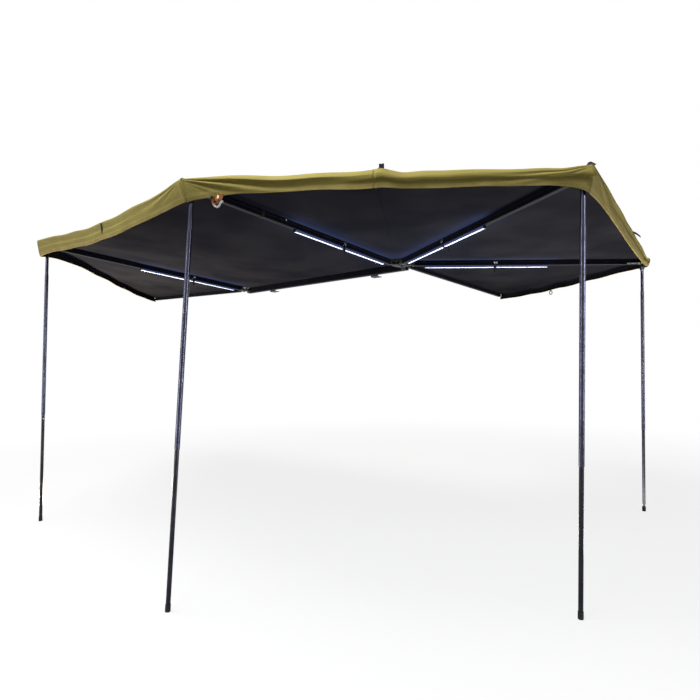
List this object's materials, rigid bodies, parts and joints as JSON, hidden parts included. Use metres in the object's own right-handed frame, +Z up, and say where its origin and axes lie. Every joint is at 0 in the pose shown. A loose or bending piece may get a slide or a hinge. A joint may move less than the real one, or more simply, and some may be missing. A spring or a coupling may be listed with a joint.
{
  "type": "vehicle side awning",
  "caption": "Wing awning that unfolds around the side and rear corner of a vehicle: canvas panels on hinged arms with light bars and telescopic poles.",
  "frame": {"origin": "centre of the underside of the rear rack bracket, where the awning rests on a roof rack", "axes": "+X away from the side of the vehicle, +Y to the vehicle's rear, +Z up"},
  "size_m": [4.3038, 5.8983, 2.3005],
  "materials": {
    "black_alloy": "black anodised",
    "cast_black": "matt black powder coat on cast aluminium",
    "dark_tube": "dark blue-black anodised",
    "bright_steel": "stainless",
    "silver_cap": "bare satin",
    "light_lens": "frosted diffuser, lit cool white",
    "rubber": "moulded",
    "canvas": "olive rip-resistant canvas, black on its underside"
  },
  "bodies": {
    "root": {"mounting_beam": "black_alloy", "rack_bracket_rear": "cast_black", "rack_bracket_front": "cast_black", "hub_bracket_front": "cast_black", "hub_bracket_rear": "cast_black", "arm_1_pivot_bolt": "bright_steel", "arm_2_pivot_bolt": "bright_steel", "canopy_side": "canvas"},
    "arm_1": {"arm_1_knuckle": "cast_black", "arm_1_beam": "black_alloy", "light_1_channel": "black_alloy", "light_1_lens": "light_lens", "pole_1_fork": "cast_black", "front_spar_pivot_bolt": "bright_steel", "canopy_front": "canvas"},
    "arm_2": {"arm_2_knuckle": "cast_black", "arm_2_beam": "black_alloy", "light_2_channel": "black_alloy", "light_2_lens": "light_lens", "pole_2_fork": "cast_black", "arm_3_pivot_bolt": "bright_steel", "canopy_corner": "canvas"},
    "arm_3": {"arm_3_knuckle": "cast_black", "arm_3_beam": "black_alloy", "light_3_channel": "black_alloy", "light_3_lens": "light_lens", "pole_3_fork": "cast_black", "arm_4_pivot_bolt": "bright_steel", "canopy_rear": "canvas"},
    "arm_4": {"arm_4_knuckle": "cast_black", "arm_4_beam": "black_alloy", "light_4_channel": "black_alloy", "light_4_lens": "light_lens", "pole_4_fork": "cast_black", "rear_spar_pivot_bolt": "bright_steel", "canopy_tail": "canvas"},
    "front_spar": {"front_spar_knuckle": "cast_black", "front_spar_beam": "black_alloy", "front_spar_cap": "silver_cap"},
    "rear_spar": {"rear_spar_knuckle": "cast_black", "rear_spar_beam": "black_alloy", "rear_spar_cap": "silver_cap"},
    "pole_1_upper": {"pole_1_upper": "dark_tube"},
    "pole_1_lower": {"pole_1_lower": "dark_tube", "pole_1_foot": "rubber"},
    "pole_2_upper": {"pole_2_upper": "dark_tube"},
    "pole_2_lower": {"pole_2_lower": "dark_tube", "pole_2_foot": "rubber"},
    "pole_3_upper": {"pole_3_upper": "dark_tube"},
    "pole_3_lower": {"pole_3_lower": "dark_tube", "pole_3_foot": "rubber"},
    "pole_4_upper": {"pole_4_upper": "dark_tube"},
    "pole_4_lower": {"pole_4_lower": "dark_tube", "pole_4_foot": "rubber"}
  },
  "joints": [
    {"name": "rear_wing_fold", "type": "hinge", "parent": "root", "child": "arm_2", "pos_m": [0.2098, 0.35, 0.048], "axis": [0, 0, -1], "range_deg": [0, 92], "deforming": ["canopy_side", "canopy_corner"]},
    {"name": "arm_3_fold", "type": "hinge", "parent": "arm_2", "child": "arm_3", "pos_m": [0.20799, 0.40197, 0.048], "axis": [0, 0, -1], "range_deg": [0, 59], "deforming": ["canopy_corner", "canopy_rear"]},
    {"name": "arm_4_fold", "type": "hinge", "parent": "arm_3", "child": "arm_4", "pos_m": [0.16251, 0.42718, 0.048], "axis": [0, 0, -1], "range_deg": [0, 70], "deforming": ["canopy_rear", "canopy_tail"]},
    {"name": "rear_spar_fold", "type": "hinge", "parent": "arm_4", "child": "rear_spar", "pos_m": [0.12326, 0.39306, 0.048], "axis": [0, 0, -1], "range_deg": [0, 51], "deforming": ["canopy_tail"]},
    {"name": "front_wing_fold", "type": "hinge", "parent": "root", "child": "arm_1", "pos_m": [0.1058, -1.71, 0.048], "axis": [0, 0, 1], "range_deg": [0, 94], "deforming": ["canopy_side", "canopy_front"]},
    {"name": "front_spar_fold", "type": "hinge", "parent": "arm_1", "child": "front_spar", "pos_m": [0.10217, -1.76187, 0.048], "axis": [0, 0, 1], "range_deg": [0, 87], "deforming": ["canopy_front"]},
    {"name": "pole_1_fold", "type": "hinge", "parent": "arm_1", "child": "pole_1_upper", "pos_m": [2.08843, -1.84864, 0.17906], "axis": [0.0698, 0.9976, 0], "range_deg": [0, 85.78]},
    {"name": "pole_1_slide", "type": "slide", "parent": "pole_1_upper", "child": "pole_1_lower", "axis": [-0.0203, 0.0014, 0.9998], "range_m": [-0.1, 0.81]},
    {"name": "pole_2_fold", "type": "hinge", "parent": "arm_2", "child": "pole_2_upper", "pos_m": [2.19869, 0.41945, 0.12978], "axis": [-0.0349, 0.9994, 0], "range_deg": [0, 90.13]},
    {"name": "pole_2_slide", "type": "slide", "parent": "pole_2_upper", "child": "pole_2_lower", "axis": [-0.0714, -0.0025, 0.9974], "range_m": [-0.1, 0.77]},
    {"name": "pole_3_fold", "type": "hinge", "parent": "arm_3", "child": "pole_3_upper", "pos_m": [1.17362, 2.14401, 0.05594], "axis": [-0.8746, 0.4848, 0], "range_deg": [0, 85.97]},
    {"name": "pole_3_slide", "type": "slide", "parent": "pole_3_upper", "child": "pole_3_lower", "axis": [0.0186, 0.0335, 0.9993], "range_m": [-0.1, 0.69]},
    {"name": "pole_4_fold", "type": "hinge", "parent": "arm_4", "child": "pole_4_upper", "pos_m": [-1.14361, 1.9297, -0.01292], "axis": [-0.7547, -0.6561, 0], "range_deg": [0, 89.06]},
    {"name": "pole_4_slide", "type": "slide", "parent": "pole_4_upper", "child": "pole_4_lower", "axis": [-0.0123, 0.0142, 0.9998], "range_m": [-0.1, 0.62]}
  ],
  "couplings": [
    {"joint": "arm_3_fold", "follows": "rear_wing_fold", "ratio": 0.6413},
    {"joint": "arm_4_fold", "follows": "rear_wing_fold", "ratio": 0.7608},
    {"joint": "rear_spar_fold", "follows": "rear_wing_fold", "ratio": 0.5543},
    {"joint": "front_spar_fold", "follows": "front_wing_fold", "ratio": 0.9255}
  ]
}
